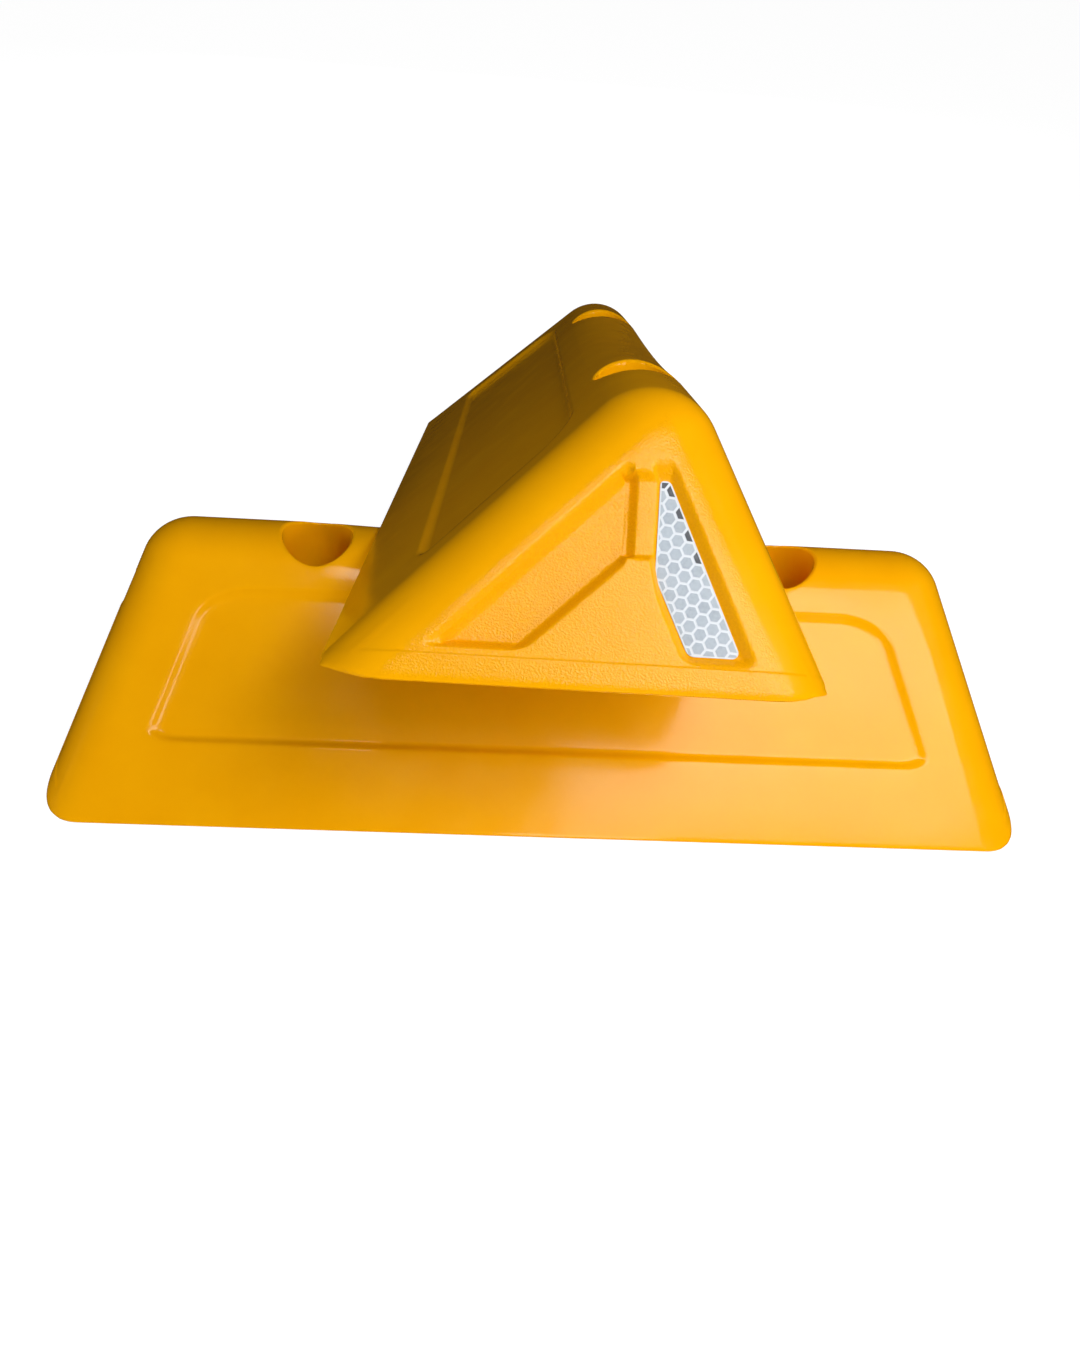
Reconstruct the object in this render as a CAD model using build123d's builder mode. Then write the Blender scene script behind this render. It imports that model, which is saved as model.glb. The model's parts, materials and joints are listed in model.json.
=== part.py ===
from build123d import *
import os
from math import asin, atan2, cos, hypot, pi, radians, sin, tan

# A set of two hollow moulded wheel stops, one leaning across the ridge of the other, in millimetres.
# X runs along the lower stop, Y from its long slope to its steep back, and Z is up.
# The origin is on the lower stop's base, midway between its two anchor holes.

# Outside of one stop
STOP_LENGTH = 450.0  # along the base
STOP_DEPTH = 170.0  # front foot to back foot
STOP_HEIGHT = 86.0  # base to the top of the ridge
RIDGE_FROM_FRONT = 106.5  # front foot to the line under the ridge
END_LEAN = 27.0  # degrees by which each end leans in
EDGE_RADIUS = 25.0  # ridge and slanting edges
WALL = 4.0  # moulded wall

# Bolt wells, sunk straight down through the ridge
BOLT_SPACING = 216.0
BOLT_HOLE_RADIUS = 6.5
WELL_RADIUS = 16.0
WELL_FLOOR = 12.0  # base to the seat of the bolt's washer
WELL_AHEAD = 0.6  # the bolts stand this far ahead of the ridge

# Sag of the ridge between the wells
SAG_DEPTH = 2.6
SAG_TO_WELL = 5.0  # plain ridge left between the sag and each well
SAG_RUNOUT = 0.3  # how far the sag's curve stands clear of the slopes

# Shallow panel on the long front slope, and the shorter one on the back
PANEL_DEPTH = 2.5
PANEL_DRAFT = 40.0  # degrees
PANEL_END_MARGIN = 32.4  # from the slope's slanting edges
FRONT_FOOT_MARGIN = 37.8  # from the foot, up the slope
FRONT_RIDGE_MARGIN = 12.0  # from the start of the ridge's rounding
FRONT_FOOT_CORNER = 10.0
FRONT_RIDGE_CORNER = 18.0
BACK_FOOT_MARGIN = 24.0
BACK_RIDGE_MARGIN = 12.0
BACK_CORNER = 10.0

# Reflective sheet on each end, measured on the end's surface
SHEET_THICKNESS = 0.5
SHEET_FOOT = 13.4  # base to its lower edge
SHEET_HEIGHT = 56.0
SHEET_FOOT_WIDTH = 17.4
SHEET_TOP_WIDTH = 3.2
SHEET_KINK = 27.8  # lower edge to where its front edge turns upright
SHEET_FOOT_INSET = 25.4  # from the back edge of the end, at its lower edge
SHEET_TOP_INSET = 23.3  # and at its top
SHEET_CORNER = 1.5

# Pocket that the sheet is stuck in, with a plain strip ahead of it
POCKET_DEPTH = 3.0
POCKET_MARGIN = 3.2
STRIP_WIDTH = 8.3
STRIP_FOOT = 45.0  # base to the strip's lower edge
STRIP_TOP = 72.0

# Deeper recess at the front of each end
DEEP_DEPTH = 4.5
DEEP_RIM = 15.5  # rim left along the front edge
DEEP_FOOT = 12.0  # base to its lower edge
DEEP_FOOT_WIDTH = 33.0
DEEP_CORNER = 3.0
DEEP_DRAFT = 20.0  # degrees, on its walls

# Upper stop, leaning on the lower stop's ridge with its rear foot on the ground
UPPER_ALONG = 27.5
UPPER_TURN = -92.4  # degrees
UPPER_TILT = 18.0  # degrees, front end up
STACK_GAP = 0.3

ENDS = (-1, 1)

# Slopes, worked out from the ridge's rounding and the two feet
front_y = WELL_AHEAD - RIDGE_FROM_FRONT
back_y = front_y + STOP_DEPTH
ridge_z = STOP_HEIGHT - EDGE_RADIUS


def slope_of(run):
    """Angle of a slope that starts a run away from the ridge and touches its rounding."""
    return atan2(ridge_z, run) + asin(EDGE_RADIUS / hypot(run, ridge_z))


def flat_of(run):
    """Length of that slope, from its foot to where the rounding starts."""
    return (run**2 + ridge_z**2 - EDGE_RADIUS**2) ** 0.5


front_run = RIDGE_FROM_FRONT
back_run = STOP_DEPTH - RIDGE_FROM_FRONT
front_slope = slope_of(front_run)
back_slope = slope_of(back_run)
front_rise = tan(front_slope)
back_rise = tan(back_slope)
apex_y = (back_y * back_rise + front_y * front_rise) / (front_rise + back_rise)
apex_z = (apex_y - front_y) * front_rise
lean = radians(END_LEAN)

# Sag: the ridge keeps its slopes, and its rounding grows towards the middle
half_apex = (pi - front_slope - back_slope) / 2
apex_tilt = (back_slope - front_slope) / 2
drop_per_radius = cos(apex_tilt) / sin(half_apex) - 1
sag_radius = EDGE_RADIUS + (SAG_DEPTH + SAG_RUNOUT) / drop_per_radius
sag_y = apex_y - sag_radius * sin(apex_tilt) / sin(half_apex)
sag_z = apex_z - sag_radius * cos(apex_tilt) / sin(half_apex)
sag_half_length = BOLT_SPACING / 2 - WELL_RADIUS - SAG_TO_WELL

front_plane = Plane((0, front_y, 0), x_dir=(1, 0, 0), z_dir=(0, -sin(front_slope), cos(front_slope)))
back_plane = Plane((0, back_y, 0), x_dir=(-1, 0, 0), z_dir=(0, sin(back_slope), cos(back_slope)))


def end_plane(side):
    """Surface of one end: x runs along Y, ahead of or behind the ridge, and y runs up the end."""
    outward = (side * cos(lean), 0, sin(lean))
    return Plane((side * STOP_LENGTH / 2, WELL_AHEAD, 0), x_dir=(0, side, 0), z_dir=outward)


def wedge_section(inset=0.0):
    """Sharp section of the stop, drawn in on every side."""
    with BuildSketch(Plane.YZ) as section:
        Polygon((front_y, 0), (back_y, 0), (apex_y, apex_z), align=None)
        if inset:
            offset(amount=-inset, kind=Kind.INTERSECTION)
    return section.sketch


def panel_outline(plane, slope, foot, ridge, foot_corner, ridge_corner, grow=0.0):
    """Panel with rounded corners, whose ends run beside the slope's slanting edges."""
    lean_in = sin(slope) * tan(lean)
    foot_half = STOP_LENGTH / 2 - foot * lean_in - PANEL_END_MARGIN
    ridge_half = STOP_LENGTH / 2 - ridge * lean_in - PANEL_END_MARGIN
    with BuildSketch(plane) as outline:
        Polygon((-foot_half, foot), (foot_half, foot), (ridge_half, ridge), (-ridge_half, ridge), align=None)
        fillet(outline.vertices().group_by(Axis.Y)[0], foot_corner)
        fillet(outline.vertices().group_by(Axis.Y)[-1], ridge_corner)
        if grow:
            offset(amount=grow)
    return outline.sketch


def front_panel(grow=0.0):
    ridge = flat_of(front_run) - FRONT_RIDGE_MARGIN
    corners = (FRONT_FOOT_CORNER, FRONT_RIDGE_CORNER)
    return panel_outline(front_plane, front_slope, FRONT_FOOT_MARGIN, ridge, *corners, grow)


def back_panel(grow=0.0):
    ridge = flat_of(back_run) - BACK_RIDGE_MARGIN
    return panel_outline(back_plane, back_slope, BACK_FOOT_MARGIN, ridge, BACK_CORNER, BACK_CORNER, grow)


# Corners of the sheet and the recesses on an end's surface: first behind the ridge, then up the end
sheet_top = SHEET_FOOT + SHEET_HEIGHT
sheet_foot_back = back_run - SHEET_FOOT * cos(lean) / back_rise - SHEET_FOOT_INSET
sheet_top_back = back_run - sheet_top * cos(lean) / back_rise - SHEET_TOP_INSET
sheet_front = sheet_top_back - SHEET_TOP_WIDTH
strip_front = sheet_front - STRIP_WIDTH
deep_wall_width = DEEP_DEPTH * tan(radians(DEEP_DRAFT))
end_front_rise = front_rise / cos(lean)
deep_rim_drop = DEEP_RIM * hypot(1, end_front_rise)
deep_front = (DEEP_FOOT + deep_rim_drop) / end_front_rise - front_run
deep_top = (strip_front + front_run) * end_front_rise - deep_rim_drop

SHEET_POINTS = (
    (sheet_foot_back - SHEET_FOOT_WIDTH, SHEET_FOOT),
    (sheet_foot_back, SHEET_FOOT),
    (sheet_top_back, sheet_top),
    (sheet_front, sheet_top),
    (sheet_front, SHEET_FOOT + SHEET_KINK),
)
STRIP_POINTS = (
    (strip_front - deep_wall_width, STRIP_FOOT),
    (sheet_front, STRIP_FOOT),
    (sheet_front, STRIP_TOP),
    (strip_front - deep_wall_width, STRIP_TOP),
)
DEEP_POINTS = (
    (deep_front, DEEP_FOOT),
    (deep_front + DEEP_FOOT_WIDTH, DEEP_FOOT),
    (strip_front, STRIP_FOOT),
    (strip_front, deep_top),
)


def on_end(points, side):
    """Points for the sketch plane of one end, whose x runs forward on the left end."""
    return [(side * behind, up) for behind, up in points]


def sheet_outline(side):
    with BuildSketch(end_plane(side).offset(-POCKET_DEPTH)) as outline:
        Polygon(*on_end(SHEET_POINTS, side), align=None)
        fillet(outline.vertices(), SHEET_CORNER)
    return outline.sketch


def pocket_outline(side, grow=0.0):
    with BuildSketch(end_plane(side)) as outline:
        Polygon(*on_end(SHEET_POINTS, side), align=None)
        offset(amount=POCKET_MARGIN)
        Polygon(*on_end(STRIP_POINTS, side), align=None)
        if grow:
            offset(amount=grow)
    return outline.sketch


def deep_outline(side, grow=0.0):
    with BuildSketch(end_plane(side)) as outline:
        Polygon(*on_end(DEEP_POINTS, side), align=None)
        fillet(outline.vertices(), DEEP_CORNER)
        if grow:
            offset(amount=grow)
    return outline.sketch


# Wheel with a grooved rim, which presses the sag into the ridge
with BuildPart() as sag_wheel:
    groove_radius = sag_radius + SAG_RUNOUT
    groove_top = sag_z + groove_radius
    groove_front = (sag_y - groove_radius * sin(front_slope), sag_z + groove_radius * cos(front_slope))
    groove_back = (sag_y + groove_radius * sin(back_slope), sag_z + groove_radius * cos(back_slope))
    rim_top = groove_top + EDGE_RADIUS
    wheel_radius = sag_half_length**2 / (2 * (STOP_HEIGHT - groove_top))
    with BuildSketch(Plane.YZ):
        with BuildLine():
            ThreePointArc(groove_front, (sag_y, groove_top), groove_back)
            Polyline(
                groove_back,
                (back_y, groove_back[1]),
                (back_y, rim_top),
                (front_y, rim_top),
                (front_y, groove_front[1]),
                groove_front,
            )
        make_face()
    revolve(axis=Axis((0, 0, groove_top + wheel_radius), (0, 1, 0)))

# Hollow inside the moulding, clear of the wells and of every recess by one wall
with BuildPart() as hollow:
    extrude(wedge_section(WALL), amount=STOP_LENGTH / 2, both=True)
    for side in ENDS:
        split(bisect_by=end_plane(side).offset(-WALL), keep=Keep.BOTTOM)
    fillet(hollow.edges() - hollow.edges().group_by(Axis.Z)[0], sag_radius - WALL)
    extrude(front_panel(grow=WALL), amount=-PANEL_DEPTH - WALL, mode=Mode.SUBTRACT)
    extrude(back_panel(grow=WALL), amount=-PANEL_DEPTH - WALL, mode=Mode.SUBTRACT)
    for side in ENDS:
        extrude(pocket_outline(side, grow=WALL), amount=-POCKET_DEPTH - WALL, mode=Mode.SUBTRACT)
        extrude(deep_outline(side, grow=WALL), amount=-DEEP_DEPTH - WALL, mode=Mode.SUBTRACT)
    with BuildSketch(Plane.XY) as columns:
        with GridLocations(BOLT_SPACING, 0, 2, 1):
            Circle(WELL_RADIUS + WALL)
    extrude(columns.sketch, amount=STOP_HEIGHT, mode=Mode.SUBTRACT)

# Moulded body
with BuildPart() as lower_body:
    extrude(wedge_section(), amount=STOP_LENGTH / 2, both=True)
    for side in ENDS:
        split(bisect_by=end_plane(side), keep=Keep.BOTTOM)
    fillet(lower_body.edges() - lower_body.edges().group_by(Axis.Z)[0], EDGE_RADIUS)
    add(sag_wheel.part, mode=Mode.SUBTRACT)
    extrude(front_panel(), amount=-PANEL_DEPTH, taper=PANEL_DRAFT, mode=Mode.SUBTRACT)
    extrude(back_panel(), amount=-PANEL_DEPTH, taper=PANEL_DRAFT, mode=Mode.SUBTRACT)
    for side in ENDS:
        extrude(pocket_outline(side), amount=-POCKET_DEPTH, mode=Mode.SUBTRACT)
        extrude(deep_outline(side), amount=-DEEP_DEPTH, taper=DEEP_DRAFT, mode=Mode.SUBTRACT)
    add(hollow.part, mode=Mode.SUBTRACT)
    with Locations((0, 0, STOP_HEIGHT)):
        with GridLocations(BOLT_SPACING, 0, 2, 1):
            CounterBoreHole(BOLT_HOLE_RADIUS, WELL_RADIUS, STOP_HEIGHT - WELL_FLOOR, STOP_HEIGHT)

# Reflective sheets, one on each end
with BuildPart() as lower_left_sheet:
    extrude(sheet_outline(-1), amount=SHEET_THICKNESS)

with BuildPart() as lower_right_sheet:
    extrude(sheet_outline(1), amount=SHEET_THICKNESS)

# Upper stop: the same three pieces, with the rear foot on the ground and the base on the lower ridge
upper_turn = (-UPPER_TILT, 0, UPPER_TURN)
upper_z = -lower_body.part.moved(Location((0, 0, 0), upper_turn)).bounding_box().min.Z
tilt = radians(UPPER_TILT)
upper_y = WELL_AHEAD + (EDGE_RADIUS + STACK_GAP - cos(tilt) * (upper_z - ridge_z)) / sin(tilt)
upper_place = Location((UPPER_ALONG, upper_y, upper_z), upper_turn)

with BuildPart() as upper_body:
    with Locations(upper_place):
        add(lower_body.part)

with BuildPart() as upper_rear_sheet:
    with Locations(upper_place):
        add(lower_left_sheet.part)

with BuildPart() as upper_front_sheet:
    with Locations(upper_place):
        add(lower_right_sheet.part)

pieces = {
    "lower_body": lower_body,
    "lower_left_reflector": lower_left_sheet,
    "lower_right_reflector": lower_right_sheet,
    "upper_body": upper_body,
    "upper_front_reflector": upper_front_sheet,
    "upper_rear_reflector": upper_rear_sheet,
}

os.makedirs("parts", exist_ok=True)
for name, piece in pieces.items():
    piece.part.label = name
    export_step(piece.part, f"parts/{name}.step")
    print(name, len(piece.part.solids()), round(piece.part.volume), piece.part.bounding_box())
print("upper stop at", upper_place.position)
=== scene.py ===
# %% [markdown]
# # A pair of yellow wheel stops
#
# A wheel stop is a low wedge that is bolted to the floor of a car park. These two are hollow plastic
# mouldings, and one leans across the ridge of the other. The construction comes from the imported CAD
# model, so this lesson only gives it its looks: soft moulded edges, recesses, reflective sheet, plastic,
# light and a camera.

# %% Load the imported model
import json
from math import acos, asin, atan2, ceil, copysign, cos, hypot, pi, radians, sin, sqrt, tan

import bmesh
import bpy
from mathutils import Matrix, Vector


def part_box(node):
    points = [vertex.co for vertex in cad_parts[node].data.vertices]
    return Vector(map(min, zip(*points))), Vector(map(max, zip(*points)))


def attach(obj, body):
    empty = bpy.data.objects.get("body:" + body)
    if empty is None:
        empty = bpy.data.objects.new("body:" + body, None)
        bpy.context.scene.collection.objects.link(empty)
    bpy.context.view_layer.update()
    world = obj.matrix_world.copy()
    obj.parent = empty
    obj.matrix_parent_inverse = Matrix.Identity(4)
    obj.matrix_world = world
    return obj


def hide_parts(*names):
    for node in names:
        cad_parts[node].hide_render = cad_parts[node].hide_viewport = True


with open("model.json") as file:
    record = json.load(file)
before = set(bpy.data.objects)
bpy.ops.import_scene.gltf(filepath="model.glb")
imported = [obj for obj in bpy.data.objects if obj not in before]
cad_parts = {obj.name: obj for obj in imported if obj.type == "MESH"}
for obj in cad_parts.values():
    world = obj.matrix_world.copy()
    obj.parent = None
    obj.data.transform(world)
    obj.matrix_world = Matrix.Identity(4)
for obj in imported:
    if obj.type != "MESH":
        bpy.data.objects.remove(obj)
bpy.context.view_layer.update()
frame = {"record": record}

# %% [markdown]
# ## Sizes
#
# Everything is in metres and in the CAD model's own frame: X runs along the lower stop, Y from its long
# slope to its steep back, and Z is up. The outside sizes and the bolts are read from the frame, so they
# always agree with it. Sizes that the frame doesn't state are named where they are first needed, and those
# that the whole stop hangs on are named here. Points closer than NEARLY count as one, and directions whose
# product is over SAME_WAY count as the same.

# %% Sizes of one stop
low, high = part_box("lower_body")
half_length = high.x
front_y, back_y, top_z = low.y, high.y, high.z
mounts = {mount["name"]: mount for mount in frame["record"]["mounts"]}
bolt_x = mounts["lower_bolts"]["dims"]["spacing_x_mm"] / 2000
bolt_hole_radius = mounts["lower_bolts"]["dims"]["hole_r_mm"] / 1000

EDGE_RADIUS = 0.025
END_LEAN = radians(27)
RIDGE_Y = 0.0006
WELL_RADIUS = 0.016
WELL_FLOOR = 0.012
NEARLY = 1e-6
SAME_WAY = 0.99
QUARTER_TURN = radians(90)

ridge_axis_z = top_z - EDGE_RADIUS


def slope_of(run):
    """Angle of a slope that starts a run away from the ridge and touches its rounding."""
    return atan2(ridge_axis_z, run) + asin(EDGE_RADIUS / hypot(run, ridge_axis_z))


front_slope = slope_of(RIDGE_Y - front_y)
back_slope = slope_of(back_y - RIDGE_Y)
apex_y = (back_y * tan(back_slope) + front_y * tan(front_slope)) / (tan(front_slope) + tan(back_slope))
apex_z = (apex_y - front_y) * tan(front_slope)
print("slopes in degrees", front_slope * 180 / pi, back_slope * 180 / pi)

# %% [markdown]
# Each outer face is a flat surface with its own flat map: a foot point, an outward normal, and the
# direction that runs up it. Recesses are drawn on that map, as a draughtsman would draw them on the face.


# %% The three faces of one half
class Face:
    """A flat outer face, mapped by how far across and how far up it a point lies."""

    def __init__(self, foot, normal, across, up):
        self.foot = Vector(foot)
        self.normal = Vector(normal)
        self.across = Vector(across)
        self.up = Vector(up)

    def measure(self, co):
        """Across, up and outward distance of a point."""
        offset = co - self.foot
        return offset.dot(self.across), offset.dot(self.up), offset.dot(self.normal)

    def direction(self, across, up):
        return self.across * across + self.up * up

    def point(self, across, up):
        return self.foot + self.direction(across, up)


front_face = Face(
    foot=(0, front_y, 0),
    normal=(0, -sin(front_slope), cos(front_slope)),
    across=(1, 0, 0),
    up=(0, cos(front_slope), sin(front_slope)),
)
back_face = Face(
    foot=(0, back_y, 0),
    normal=(0, sin(back_slope), cos(back_slope)),
    across=(1, 0, 0),
    up=(0, -cos(back_slope), sin(back_slope)),
)
end_face = Face(
    foot=(half_length, RIDGE_Y, 0),
    normal=(cos(END_LEAN), 0, sin(END_LEAN)),
    across=(0, 1, 0),
    up=(-sin(END_LEAN), 0, cos(END_LEAN)),
)
FRONT, BACK, END = range(3)
for face in (front_face, back_face, end_face):
    print("a face looks along", [round(part, 3) for part in face.normal])

# %% [markdown]
# ## The moulded body
#
# The body is a wedge with generous rounded edges, shallow panels on its slopes and hollows in each end. It
# could be carved with booleans and bevelled, but a bevel breaks where a recess runs into a rounded edge.
# So it is made the way clay is: a sharp wedge, scored with fine lines where detail is coming, then pressed
# into shape. Only one half is made, and the other is its mirror image.


# %% A sharp half wedge, longer at the foot than it needs to be
SKIRT = 0.03


def sharp_half_wedge():
    bm = bmesh.new()
    section = (
        (0, front_y - SKIRT / tan(front_slope), -SKIRT),
        (0, back_y + SKIRT / tan(back_slope), -SKIRT),
        (0, apex_y, apex_z),
    )
    cap = bm.faces.new([bm.verts.new(corner) for corner in section])
    extruded = bmesh.ops.extrude_face_region(bm, geom=[cap])["geom"]
    far = [item for item in extruded if isinstance(item, bmesh.types.BMVert)]
    bmesh.ops.translate(bm, verts=far, vec=(half_length, 0, 0))
    for vert in far:
        vert.co.x -= vert.co.z * tan(END_LEAN)
    bmesh.ops.recalc_face_normals(bm, faces=bm.faces)
    for region, face in ((FRONT, front_face), (BACK, back_face), (END, end_face)):
        for side in bm.faces:
            if side.normal.dot(face.normal) > SAME_WAY:
                side.material_index = region
    unused = [side for side in bm.faces if min(side.normal.x, side.normal.z) < -SAME_WAY]
    bmesh.ops.delete(bm, geom=unused, context="FACES_ONLY")
    return bm


shell = sharp_half_wedge()
print("sharp half wedge with", len(shell.faces), "faces")

# %% [markdown]
# A score is a straight cut across the surface that adds a row of points and leaves the shape as it is.
# Scores lie close together along the walls of each recess, so a wall gets its points exactly where it
# bends, and far apart where the surface is plain.


# %% Scoring
def steps(start, stop, pitch):
    """Evenly spaced values from start to stop, no further apart than the pitch."""
    count = max(1, ceil(abs(stop - start) / pitch))
    return [start + (stop - start) * i / count for i in range(count + 1)]


def score(bm, regions, point, normal):
    faces = [face for face in bm.faces if face.material_index in regions]
    edges = {edge for face in faces for edge in face.edges}
    verts = {vert for face in faces for vert in face.verts}
    geom = [*verts, *edges, *faces]
    bmesh.ops.bisect_plane(bm, geom=geom, dist=NEARLY, plane_co=point, plane_no=normal)


print("from 0 to 1 in steps of 0.4 at most", steps(0, 1, 0.4))

# %% [markdown]
# ### Panels and recesses
#
# Every recess here has an outline of straight sides that bulges nowhere inwards, so how far down the
# walls a point lies is the least of its distances from the sides, each counted in widths of that side's
# wall. Rounding that minimum off rounds the corners.


# %% Outlines
def outward_sides(points):
    """Each side of an outline, as a point on it and its outward direction."""
    for (x0, y0), (x1, y1) in zip(points, points[1:] + points[:1]):
        length = hypot(x1 - x0, y1 - y0)
        yield x0, y0, (y1 - y0) / length, -(x1 - x0) / length


class Outline:
    """A recess's rim on a face: its corners in order, anticlockwise, with the width of each side's wall."""

    def __init__(self, points, widths, corners):
        sides = zip(outward_sides(points), widths)
        self.sides = [(x, y, -nx / width, -ny / width) for (x, y, nx, ny), width in sides]
        self.widths = widths
        self.corners = [2 * corner / (widths[i - 1] + widths[i]) for i, corner in enumerate(corners)]

    def share(self, across, up):
        """How far down the walls a point lies: 0 on the rim, 1 at the foot of a wall."""
        shares = [(across - x) * nx + (up - y) * ny for x, y, nx, ny in self.sides]
        return min(rounded_min(shares[i - 1], shares[i], corner) for i, corner in enumerate(self.corners))


def rounded_min(a, b, radius):
    """The smaller of two distances, with a round corner where they are alike."""
    return max(radius, min(a, b)) - hypot(max(radius - a, 0), max(radius - b, 0))


def soft_min(a, b, blend):
    """The smaller of two heights, eased where they are alike, as a moulded edge is."""
    overlap = max(blend - abs(a - b), 0)
    return min(a, b) - overlap * overlap / (4 * blend)


def hollow(share, depth, blend):
    """Height of a recess's wall or floor, from how far down the walls a point lies."""
    return -soft_min(depth, share * depth, blend)


print("a corner where two walls of 1 meet, rounded by 2, lies at", rounded_min(1, 1, 2))

# %% [markdown]
# The long slope and the steep one each have a shallow panel, whose ends run beside the slanting edges.
# Its upper corners on the long slope are rounder than its lower ones.

# %% Panels on the slopes
PANEL_DEPTH = 0.0021
PANEL_WALL = 0.0042
PANEL_FOOT_WALL, PANEL_RIDGE_WALL = 0.0024, 0.0030
PANEL_BLEND = 0.0012
PANEL_END_MARGIN = 0.0324
FRONT_FOOT_MARGIN, FRONT_RIDGE_MARGIN = 0.0378, 0.012
FRONT_FOOT_CORNER, FRONT_RIDGE_CORNER = 0.010, 0.018
BACK_FOOT_MARGIN, BACK_RIDGE_MARGIN = 0.024, 0.012
BACK_CORNER = 0.010

front_run = RIDGE_Y - front_y
back_run = back_y - RIDGE_Y


def flat_of(run):
    """Length of a slope, from its foot to where the ridge's rounding starts."""
    return sqrt(run**2 + ridge_axis_z**2 - EDGE_RADIUS**2)


def panel(slope, foot, ridge, foot_corner, ridge_corner):
    """Panel outline on a slope, the same on both sides of the middle."""
    lean_in = sin(slope) * tan(END_LEAN)
    foot_half = half_length - foot * lean_in - PANEL_END_MARGIN
    ridge_half = half_length - ridge * lean_in - PANEL_END_MARGIN
    points = [(-foot_half, foot), (foot_half, foot), (ridge_half, ridge), (-ridge_half, ridge)]
    walls = [PANEL_FOOT_WALL, PANEL_WALL, PANEL_RIDGE_WALL, PANEL_WALL]
    return Outline(points, walls, [foot_corner, foot_corner, ridge_corner, ridge_corner])


front_panel_top = flat_of(front_run) - FRONT_RIDGE_MARGIN
back_panel_top = flat_of(back_run) - BACK_RIDGE_MARGIN
front_panel = panel(front_slope, FRONT_FOOT_MARGIN, front_panel_top, FRONT_FOOT_CORNER, FRONT_RIDGE_CORNER)
back_panel = panel(back_slope, BACK_FOOT_MARGIN, back_panel_top, BACK_CORNER, BACK_CORNER)
print("panels reach", front_panel_top, "and", back_panel_top, "up their slopes")

# %% [markdown]
# An end has three hollows that run into each other: a deep one beside the front edge, a pocket for the
# reflective sheet beside the back edge, and a narrow strip between them, shallower than both. A small web
# fills the deep hollow's sharp corner. A list of walls or corners follows its outline, from the foot
# anticlockwise.

# %% Sizes on an end
SHEET_THICKNESS = 0.0005
SHEET_FOOT, SHEET_HEIGHT = 0.0134, 0.056
SHEET_FOOT_WIDTH, SHEET_TOP_WIDTH = 0.0174, 0.0032
SHEET_KINK = 0.0250
SHEET_FOOT_INSET, SHEET_TOP_INSET = 0.0254, 0.0233
POCKET_DEPTH = 0.003
POCKET_WALLS = (0.0028, 0.0035, 0.0061, 0.0032, 0.0028)
POCKET_CORNERS = (0.004, 0.004, 0.003, 0.003, 0.006)
STRIP_DEPTH = 0.0020
STRIP_WIDTH, STRIP_FOOT, STRIP_TOP = 0.0083, 0.0435, 0.0719
STRIP_WALL, STRIP_FOOT_WALL, STRIP_CORNER = 0.0028, 0.0013, 0.002
DEEP_DEPTH, DEEP_RIM, DEEP_FOOT, DEEP_FOOT_WIDTH = 0.0045, 0.0155, 0.012, 0.033
DEEP_WALLS = (0.0024, 0.0028, 0.0024, 0.0040, 0.0052)
DEEP_CORNERS = (0.003, 0.003, 0.004, 0.002, 0.0045)
DEEP_SHOULDER = 0.0009
WEB_SLOPE, WEB_LENGTH, WEB_DROP = tan(radians(12)), 0.0065, 1.5
STEP_WIDTH = 0.0031

print("depths: pocket", POCKET_DEPTH, "strip", STRIP_DEPTH, "deep hollow", DEEP_DEPTH)

# %% [markdown]
# From those sizes come the corners of each outline, on the end's own map. The sheet's outline comes first,
# because the pocket fits round it, and the deep hollow's long side runs beside the end's front edge.

# %% Corners of the sheet and the hollows
sheet_top = SHEET_FOOT + SHEET_HEIGHT
back_edge_rise = tan(back_slope) / cos(END_LEAN)
front_edge_rise = tan(front_slope) / cos(END_LEAN)
sheet_foot_back = back_run - SHEET_FOOT / back_edge_rise - SHEET_FOOT_INSET
sheet_top_back = back_run - sheet_top / back_edge_rise - SHEET_TOP_INSET
sheet_front = sheet_top_back - SHEET_TOP_WIDTH
strip_front = sheet_front - STRIP_WIDTH
strip_hidden_end = strip_front - STEP_WIDTH - STRIP_WALL
deep_rim_drop = DEEP_RIM * hypot(1, front_edge_rise)
deep_front = (DEEP_FOOT + deep_rim_drop) / front_edge_rise - front_run
shoulder_across = strip_front - DEEP_SHOULDER
shoulder_up = (shoulder_across + front_run) * front_edge_rise - deep_rim_drop

sheet_points = [
    (sheet_foot_back - SHEET_FOOT_WIDTH, SHEET_FOOT),
    (sheet_foot_back, SHEET_FOOT),
    (sheet_top_back, sheet_top),
    (sheet_front, sheet_top),
    (sheet_front, SHEET_FOOT + SHEET_KINK),
]
deep_points = [
    (deep_front, DEEP_FOOT),
    (deep_front + DEEP_FOOT_WIDTH, DEEP_FOOT),
    (strip_front, STRIP_FOOT),
    (strip_front, STRIP_TOP),
    (shoulder_across, shoulder_up),
]
strip_points = [
    (strip_hidden_end, STRIP_FOOT),
    (sheet_top_back, STRIP_FOOT),
    (sheet_top_back, STRIP_TOP),
    (strip_hidden_end, STRIP_TOP),
]
print("sheet from", sheet_points[0], "to", sheet_points[2])

# %% [markdown]
# The pocket's rim lies outside the sheet by the width of its walls, so its corners are where the sheet's
# sides would cross if each were moved outwards by its own wall.


# %% Outlines of the hollows
def grown(points, margins):
    """The corners of an outline whose sides are moved outwards, each by its own margin."""
    sides = zip(outward_sides(points), margins)
    lines = [(nx, ny, x * nx + y * ny + margin) for (x, y, nx, ny), margin in sides]
    corners = []
    for (ax, ay, a), (bx, by, b) in zip(lines[-1:] + lines[:-1], lines):
        turn = ax * by - ay * bx
        corners.append(((a * by - ay * b) / turn, (ax * b - a * bx) / turn))
    return corners


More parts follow.
